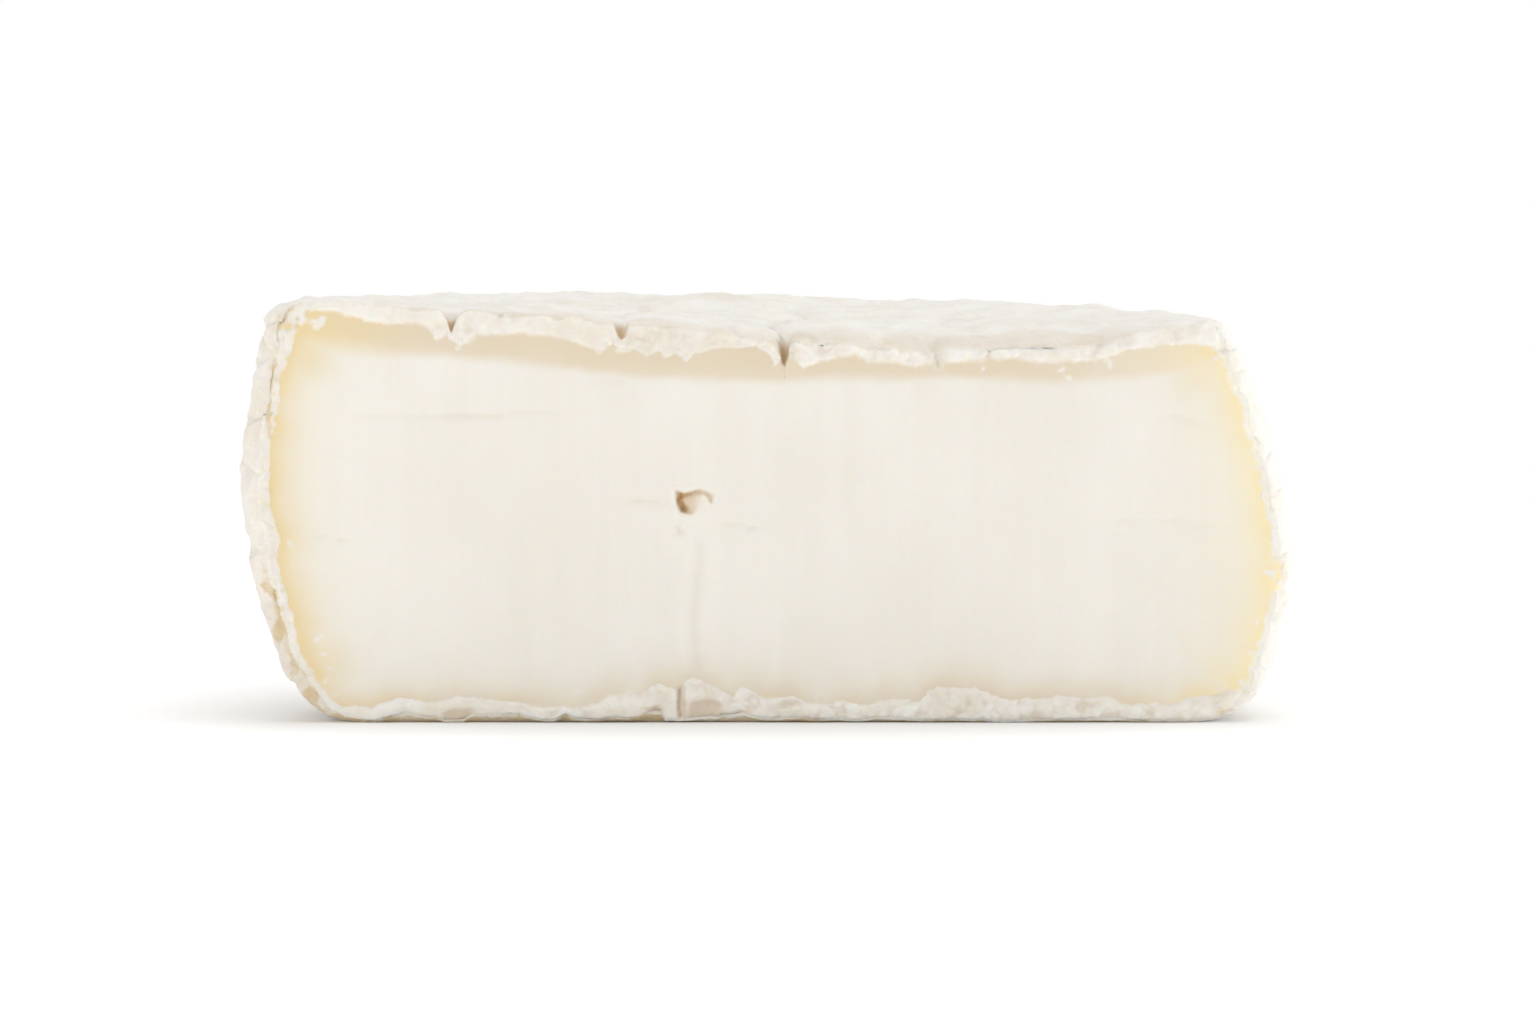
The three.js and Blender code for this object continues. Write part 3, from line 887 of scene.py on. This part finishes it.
skinBareAndShade, shadeAndTanAmount = wornAndShadedRind(wearAndShade)
halfMesh = halfWheel.data
painted = {
    "rindEdge": onWhole(faceEdge, 6),
    "softEdge": onWhole(mix(softEdge, rim["looseSoft"], isLoose), 0.1),
    "creamAndShade": onWhole(creamAndShadeAmount),
    "creamYellow": onWhole(creamYellow),
    "creamPaintedHighlight": onWhole(creamPaintedHighlight),
    "shadeAndTan": np.clip(shadeAndTanAmount, 0, 1),
    "bare": np.clip(skinBareAndShade, 0, 1),
    "pitTanAndShade": onWhole(pitTanAndShade),
}
for name, values in painted.items():
    paint(halfMesh, name, values)
print("creamline and rind edge painted")


# a value is a property of the node, or else the name of one of its sockets
def addNode(tree, kind, place, **values):
    node = tree.nodes.new(kind)
    node.location = place
    for name, value in values.items():
        if hasattr(node, name):
            setattr(node, name, value)
        else:
            node.inputs[name].default_value = value
    return node


def addGroup(name, inputs, outputs):
    tree = bpy.data.node_groups.new(name, "ShaderNodeTree")
    for label, value in inputs.items():
        socket = tree.interface.new_socket(label, in_out="INPUT", socket_type="NodeSocketFloat")
        socket.default_value = value
    for label, kind in outputs.items():
        tree.interface.new_socket(label, in_out="OUTPUT", socket_type=kind)
    start = addNode(tree, "NodeGroupInput", (-900, 0))
    end = addNode(tree, "NodeGroupOutput", (900, 0))
    return tree, start, end


def addNoise(tree, place, vector, scale, detail=3, roughness=0.55):
    node = addNode(tree, "ShaderNodeTexNoise", place, Scale=scale, Detail=detail, Roughness=roughness)
    tree.links.new(vector, node.inputs["Vector"])
    return node


def addMath(tree, place, operation, a, b=None, c=None):
    node = addNode(tree, "ShaderNodeMath", place, operation=operation)
    for i, value in enumerate((a, b, c)):
        if value is None:
            continue
        if isinstance(value, bpy.types.NodeSocket):
            tree.links.new(value, node.inputs[i])
        else:
            node.inputs[i].default_value = value
    return node.outputs[0]


def addRange(tree, place, value, low, high, toLow=0.0, toHigh=1.0):
    node = addNode(tree, "ShaderNodeMapRange", place, interpolation_type="SMOOTHSTEP")
    tree.links.new(value, node.inputs["Value"])
    for name, number in zip(("From Min", "From Max", "To Min", "To Max"), (low, high, toLow, toHigh)):
        node.inputs[name].default_value = number
    return node.outputs["Result"]


def addMix(tree, place, share, a, b):
    node = addNode(tree, "ShaderNodeMix", place, data_type="RGBA")
    for socket, value in ((node.inputs["Factor"], share), (node.inputs["A"], a), (node.inputs["B"], b)):
        target = socket
        if socket.name in "AB":
            target = [s for s in node.inputs if s.name == socket.name and s.type == "RGBA"][0]
        if isinstance(value, bpy.types.NodeSocket):
            tree.links.new(value, target)
        else:
            target.default_value = value
    return [s for s in node.outputs if s.type == "RGBA"][0]


def colour(red, green, blue):  # as read on a screen, 0 to 255
    parts = [part / 255 for part in (red, green, blue)]
    return (*(p / 12.92 if p <= 0.04 else ((p + 0.055) / 1.055) ** 2.4 for p in parts), 1)


cheeseColours = {
    "paste": colour(245, 241, 233),
    "pasteShade": colour(241, 236, 226),
    "creamTan": colour(231, 217, 192),
    "creamYellow": colour(238, 218, 172),
    # a painted highlight: the creamline lighter towards the lit right side
    "creamPaintedHighlight": colour(250, 233, 190),
    # tan inside the hole, deepened with depth as painted shade
    "pitTanAndShade": colour(216, 184, 140),
    "bloom": colour(249, 245, 238),
    "bloomShade": colour(243, 237, 226),
    # worn-through rind, also used as painted shade under the base edge and in low places
    "bare": colour(226, 206, 168),
    # painted shade in creases, notches, folds and hollows, and a few tan stains
    "shadeAndTan": colour(208, 181, 140),
}


mouldNoise = {  # scale, detail and roughness
    "mottle": (260, 4, 0.6),
    "patch": (75, 3, 0.5),
    "grain": (900, 3, 0.6),
    "fuzz": (2600, 4, 0.7),
}


def mouldGroup(c, looks):  # white mould: dry, mottled, worn through where it is bare, and tinted tan as painted shade in its hollows, creases and under its edges
    inputs = {"ShadeAndTan": 0.0, "BareAndShade": 0.0, "Thin": 0.3}
    outputs = {"Color": "NodeSocketColor", "Height": "NodeSocketFloat"}
    tree, start, end = addGroup("mouldBloom", inputs, outputs)
    where = addNode(tree, "ShaderNodeTexCoord", (-1300, 300)).outputs["Object"]
    mottle = addNoise(tree, (-1000, 300), where, *looks["mottle"]).outputs[0]
    patch = addNoise(tree, (-1000, 100), where, *looks["patch"]).outputs[0]
    grain = addNoise(tree, (-1000, -300), where, *looks["grain"]).outputs[0]
    fuzz = addNoise(tree, (-1000, -500), where, *looks["fuzz"]).outputs[0]
    shade = addRange(tree, (-700, 300), mottle, 0.42, 0.7)
    base = addMix(tree, (-500, 300), shade, c["bloom"], c["bloomShade"])
    patches = addRange(tree, (-700, 100), patch, 0.5, 0.75)
    worn = addMath(tree, (-500, 100), "MULTIPLY", patches, start.outputs["Thin"])
    thinned = addMix(tree, (-250, 200), worn, base, c["bare"])
    broken = addMath(tree, (-800, -100), "ADD", mottle, grain)
    centred = addMath(tree, (-650, -100), "MULTIPLY_ADD", broken, 1.3, -1.3)
    # worn-through spots and painted shade
    bareAmount = addMath(tree, (-500, -50), "ADD", centred, start.outputs["BareAndShade"])
    bareMask = addRange(tree, (-250, -50), bareAmount, 0.35, 1.05)
    bared = addMix(tree, (0, 150), bareMask, thinned, c["bare"])
    # painted shade and tan stains
    shadedAndTanned = addMix(tree, (300, 200), start.outputs["ShadeAndTan"], bared, c["shadeAndTan"])
    tree.links.new(shadedAndTanned, end.inputs["Color"])
    fine = addMath(tree, (-450, -300), "MULTIPLY_ADD", grain, 1.4, fuzz)
    rough = addMath(tree, (-250, -300), "MULTIPLY_ADD", mottle, 2.2, fine)
    level = addMath(tree, (-50, -300), "SUBTRACT", rough, 2.15)  # no step where the mould meets the paste
    tree.links.new(level, end.inputs["Height"])
    return tree


def raggedGroup():  # a torn border from a distance in millimetres
    inputs = {"Distance": 0.0, "Torn": 0.4, "Softness": 0.12}
    tree, start, end = addGroup("raggedEdge", inputs, {"Mask": "NodeSocketFloat"})
    where = addNode(tree, "ShaderNodeTexCoord", (-900, 300)).outputs["Object"]
    tear = addNoise(tree, (-650, 200), where, 1500, 5, 0.65).outputs[0]
    centred = addMath(tree, (-400, 200), "SUBTRACT", tear, 0.5)
    torn, distance, softness = [start.outputs[name] for name in ("Torn", "Distance", "Softness")]
    moved = addMath(tree, (-200, 100), "MULTIPLY_ADD", centred, torn, distance)
    sharp = addMath(tree, (0, 100), "DIVIDE", moved, softness)
    tree.links.new(addRange(tree, (200, 100), sharp, -1, 1), end.inputs["Mask"])
    return tree


def newMaterial(name):
    mat = bpy.data.materials.new(name)
    mat.use_nodes = True
    tree = mat.node_tree
    shader = tree.nodes["Principled BSDF"]
    shader.location = (900, 0)
    tree.nodes["Material Output"].location = (1200, 0)
    return mat, tree, shader


def setInputs(node, values):
    for name, value in values.items():
        node.inputs[name].default_value = value


def softInside(shader, weight, scale):
    setInputs(shader, {
        "Subsurface Weight": weight,
        "Subsurface Radius": (1.0, 0.7, 0.4),
        "Subsurface Scale": scale * mm,
        "Specular IOR Level": 0.3,
    })


def addBump(tree, shader, place, height, distance, strength):
    bump = addNode(tree, "ShaderNodeBump", place, Distance=distance * mm, Strength=strength)
    tree.links.new(height, bump.inputs["Height"])
    tree.links.new(bump.outputs["Normal"], shader.inputs["Normal"])
    return bump


def attribute(tree, place, name):
    return addNode(tree, "ShaderNodeAttribute", place, attribute_name=name).outputs["Fac"]


def addMould(tree, place, mould, thin):
    group = addNode(tree, "ShaderNodeGroup", place, node_tree=mould, Thin=thin)
    tree.links.new(attribute(tree, (place[0] - 250, place[1]), "shadeAndTan"), group.inputs["ShadeAndTan"])
    tree.links.new(attribute(tree, (place[0] - 250, place[1] - 180), "bare"), group.inputs["BareAndShade"])
    return group


def bloomyRind(mould):
    mat, tree, shader = newMaterial("bloomyRind")
    group = addMould(tree, (300, 0), mould, 0.22)
    tree.links.new(group.outputs["Color"], shader.inputs["Base Color"])
    addBump(tree, shader, (600, -300), group.outputs["Height"], 0.2, 0.8)
    setInputs(shader, {"Roughness": 0.95, "Sheen Weight": 0.25, "Sheen Roughness": 0.5})
    softInside(shader, 0.3, 0.7)
    return mat


def cutCheese(mould, ragged, c):
    mat, tree, shader = newMaterial("cutCheese")
    where = addNode(tree, "ShaderNodeTexCoord", (-900, 600)).outputs["Object"]
    stretch = addNode(tree, "ShaderNodeMapping", (-700, 600), Scale=(1, 1, 0.06))
    tree.links.new(where, stretch.inputs["Vector"])
    streak = addNoise(tree, (-500, 600), stretch.outputs[0], 420, 3, 0.6).outputs[0]
    cloud = addNoise(tree, (-500, 400), where, 60, 3, 0.5).outputs[0]
    tint = addMath(tree, (-400, 500), "MULTIPLY_ADD", cloud, 1.6, streak)
    pasteTone = addRange(tree, (-300, 500), tint, 0.9, 1.8)
    paste = addMix(tree, (-100, 500), pasteTone, c["paste"], c["pasteShade"])
    # painted highlight: the creamline lighter towards the right side
    glow = attribute(tree, (-500, 200), "creamPaintedHighlight")
    warm = addMix(tree, (-300, 250), glow, c["creamYellow"], c["creamPaintedHighlight"])
    tone = addMix(tree, (-100, 250), attribute(tree, (-500, 0), "creamYellow"), c["creamTan"], warm)
    # the creamline, with painted shade along the knife marks
    creamedAndShaded = addMix(tree, (100, 400), attribute(tree, (-300, 100), "creamAndShade"), paste, tone)
    # the hole's tan and painted shade
    pitTannedAndShaded = addMix(tree, (300, 400), attribute(tree, (100, 150), "pitTanAndShade"), creamedAndShaded, c["pitTanAndShade"])
    bloom = addMould(tree, (100, -100), mould, 0.06)
    border = addNode(tree, "ShaderNodeGroup", (100, -450), node_tree=ragged, Torn=0.8)
    tree.links.new(attribute(tree, (-150, -450), "rindEdge"), border.inputs["Distance"])
    tree.links.new(attribute(tree, (-150, -600), "softEdge"), border.inputs["Softness"])
    final = addMix(tree, (600, 300), border.outputs["Mask"], pitTannedAndShaded, bloom.outputs["Color"])
    tree.links.new(final, shader.inputs["Base Color"])
    pasteRough = addNoise(tree, (-500, -700), where, 1500, 3, 0.6).outputs[0]
    softStreak = addMath(tree, (-300, -800), "MULTIPLY", streak, 0.2)
    smoothGrain = addMath(tree, (-100, -700), "MULTIPLY_ADD", pasteRough, 0.1, softStreak)
    grain = addNode(tree, "ShaderNodeMix", (400, -500), data_type="FLOAT")
    tree.links.new(border.outputs["Mask"], grain.inputs["Factor"])
    tree.links.new(smoothGrain, grain.inputs["A"])
    tree.links.new(bloom.outputs["Height"], grain.inputs["B"])
    addBump(tree, shader, (650, -400), grain.outputs["Result"], 0.14, 0.7)
    gloss = addRange(tree, (650, 0), border.outputs["Mask"], 0, 1, 0.5, 0.95)
    tree.links.new(gloss, shader.inputs["Roughness"])
    softInside(shader, 0.4, 1.1)
    return mat


mould = mouldGroup(cheeseColours, mouldNoise)
ragged = raggedGroup()
halfMesh.materials.clear()
halfMesh.materials.append(bloomyRind(mould))
halfMesh.materials.append(cutCheese(mould, ragged, cheeseColours))
corners = np.empty(len(halfMesh.loops), dtype=np.int32)
halfMesh.loops.foreach_get("vertex_index", corners)
starts = np.empty(len(halfMesh.polygons), dtype=np.int32)
halfMesh.polygons.foreach_get("loop_start", starts)
cutPolygons = np.logical_and.reduceat(onFace[corners], starts)  # all their corners on the cut
halfMesh.polygons.foreach_set("material_index", cutPolygons.astype(np.int32))
halfMesh.polygons.foreach_set("use_smooth", np.ones(len(starts), dtype=bool))
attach(halfWheel, "root")
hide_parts("cheese_half")
print("cheese finished")


stage = {
    "floor": 0.8,
    "floorColour": (0.92, 0.92, 0.915, 1),
    "glow": (0.0, 0.38),  # near the cheese and further away
    "glowFrom": (0.035, 0.11),
    "world": 0.5,
}


def addFloor(s):  # it shines a little further out, so that it stays white there
    bpy.ops.mesh.primitive_plane_add(size=s["floor"], location=(0, 0, 0))
    floor = bpy.context.object
    floor.name = "floor"
    mat, tree, shader = newMaterial("paleFloor")
    setInputs(shader, {
        "Base Color": s["floorColour"],
        "Roughness": 0.9,
        "Specular IOR Level": 0.1,
        "Emission Color": (1, 1, 1, 1),
    })
    place = addNode(tree, "ShaderNodeTexCoord", (-600, 0)).outputs["Object"]
    away = addNode(tree, "ShaderNodeVectorMath", (-400, 0), operation="LENGTH")
    tree.links.new(place, away.inputs[0])
    glow = addRange(tree, (-200, 0), away.outputs["Value"], *s["glowFrom"], *s["glow"])
    tree.links.new(glow, shader.inputs["Emission Strength"])
    floor.data.materials.append(mat)
    return floor


floor = addFloor(stage)

lights = {
    # name: place, size, watts, aimed at the middle of the cheese
    "keySoftbox": ((-0.45, -0.75, 0.28), 0.45, 1.41),
    "topSoftbox": ((0.05, 0.1, 0.9), 0.9, 4.0),
    "rightSoftbox": ((0.7, -0.02, 0.12), 0.4, 2.2),
    "leftSoftbox": ((-0.8, 0.1, 0.15), 0.4, 0.5),
}


def addLights(table):
    aim = Vector((0, 0, cadHigh.z / 2))
    for name, (place, size, watts) in table.items():
        bpy.ops.object.light_add(type="AREA", location=place)
        light = bpy.context.object
        light.name = name
        light.data.size = size
        light.data.energy = watts
        light.rotation_euler = (aim - light.location).to_track_quat("-Z", "Y").to_euler()


def addWorld(strength):  # white to the eye, softer as light
    world = bpy.data.worlds.new("studio")
    bpy.context.scene.world = world
    world.use_nodes = True
    tree = world.node_tree
    background = tree.nodes["Background"]
    background.inputs["Color"].default_value = (1, 1, 1, 1)
    seen = addNode(tree, "ShaderNodeLightPath", (-400, 0)).outputs["Is Camera Ray"]
    tree.links.new(addRange(tree, (-200, 0), seen, 0, 1, strength, 1), background.inputs["Strength"])


addLights(lights)
addWorld(stage["world"])
bpy.context.scene.view_settings.view_transform = "Standard"
print("stage and light ready")
